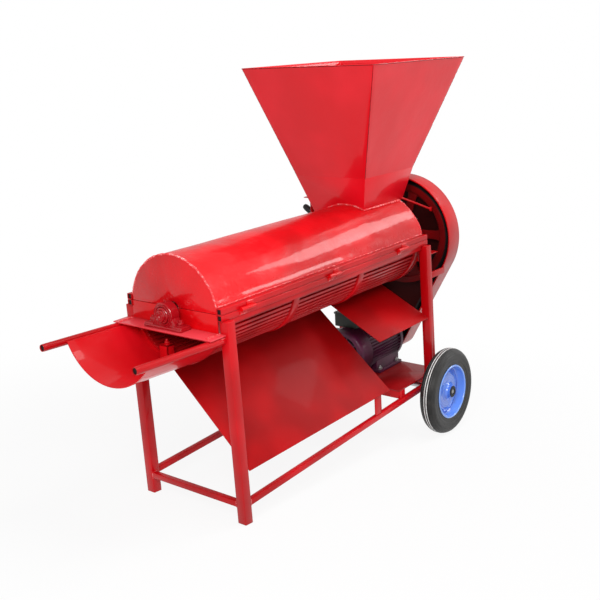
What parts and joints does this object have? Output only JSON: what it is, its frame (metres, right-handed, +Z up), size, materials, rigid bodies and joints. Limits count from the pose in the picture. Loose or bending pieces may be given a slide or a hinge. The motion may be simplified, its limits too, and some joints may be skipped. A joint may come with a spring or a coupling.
{
  "type": "almond shelling machine",
  "caption": "Inclined drum nut sheller with square feed hopper, beater rotor over a bar grate, sloping chutes, belt drive from an electric motor, pull handles and transport wheels.",
  "frame": {"origin": "centre of the bounding box on the ground the feet and wheels stand on", "axes": "+X along the machine from the outlet trough towards the belt guard, +Y across it away from the cover hinges, +Z up"},
  "size_m": [1.9984, 0.7164, 1.6894],
  "materials": {
    "frame_red": "gloss",
    "sheet_red": "gloss",
    "grate_red": "semi gloss",
    "cast_red": "semi gloss",
    "steel": "machined",
    "cast_grey": "machined",
    "knob_black": "satin",
    "belt_rubber": "matt",
    "motor_paint": "satin",
    "box_black": "satin",
    "tyre": "matt",
    "rim_blue": "gloss"
  },
  "bodies": {
    "frame": {"leg_front_near": "frame_red", "leg_front_far": "frame_red", "leg_rear_near": "frame_red", "leg_rear_far": "frame_red", "lower_rail_near": "frame_red", "lower_rail_far": "frame_red", "lower_cross_front": "frame_red", "lower_cross_rear": "frame_red", "top_rail_near": "frame_red", "top_rail_far": "frame_red", "bearing_plate_front": "frame_red", "bearing_plate_rear": "frame_red", "end_plate_front": "frame_red", "end_plate_rear": "frame_red", "handle_near": "frame_red", "handle_far": "frame_red", "motor_plate": "frame_red", "base_bar_front": "frame_red", "base_bar_rear": "frame_red", "chute_support": "frame_red", "chute_hanger_front": "frame_red", "chute_hanger_rear": "frame_red", "outlet_trough": "sheet_red", "side_chute": "sheet_red", "back_chute": "sheet_red", "belt_guard": "sheet_red", "grate": "grate_red", "bearing_block_front": "cast_red", "bearing_block_rear": "cast_red", "axle": "steel", "belt_front": "belt_rubber", "belt_rear": "belt_rubber", "motor_body": "motor_paint", "motor_shield": "motor_paint", "motor_cowl": "motor_paint", "motor_feet": "motor_paint", "terminal_lid": "motor_paint", "terminal_box": "box_black"},
    "cover": {"drum_cover": "sheet_red", "cover_end_front": "sheet_red", "cover_end_rear": "sheet_red", "hopper_throat": "sheet_red", "hopper": "sheet_red", "latch_rod": "sheet_red"},
    "gate": {"gate_slide": "sheet_red", "gate_knob": "knob_black"},
    "rotor": {"rotor_shaft": "steel", "beater_rotor_front": "cast_red", "beater_rotor_middle": "cast_red", "beater_rotor_rear": "cast_red", "shaft_collar_front": "steel", "shaft_collar_rear": "steel", "drum_pulley": "cast_red"},
    "motor_drive": {"motor_shaft": "steel", "motor_pulley": "cast_grey"},
    "wheel_near": {"tyre_near": "tyre", "rim_near": "rim_blue"},
    "wheel_far": {"tyre_far": "tyre", "rim_far": "rim_blue"}
  },
  "joints": [
    {"name": "cover_hinge", "type": "hinge", "parent": "frame", "child": "cover", "pos_m": [0.02555, -0.24735, 0.825], "axis": [0.9966, 0, 0.083], "range_deg": [0, 90]},
    {"name": "gate_slide", "type": "slide", "parent": "cover", "child": "gate", "axis": [0, 1, 0], "range_m": [0, 0.19]},
    {"name": "rotor_spin", "type": "hinge", "parent": "frame", "child": "rotor", "pos_m": [-0.60481, -0.00625, 0.75495], "axis": [0.9966, 0, 0.083], "continuous": true},
    {"name": "motor_spin", "type": "hinge", "parent": "frame", "child": "motor_drive", "pos_m": [0.93035, 0.05375, 0.3951], "axis": [0.9966, 0, 0.083], "continuous": true},
    {"name": "wheel_near_spin", "type": "hinge", "parent": "frame", "child": "wheel_near", "pos_m": [0.78807, -0.32175, 0.19355], "axis": [0, 1, 0], "continuous": true},
    {"name": "wheel_far_spin", "type": "hinge", "parent": "frame", "child": "wheel_far", "pos_m": [0.78807, 0.30925, 0.19355], "axis": [0, 1, 0], "continuous": true}
  ],
  "couplings": [
    {"joint": "motor_spin", "follows": "rotor_spin", "ratio": 4.3636}
  ]
}
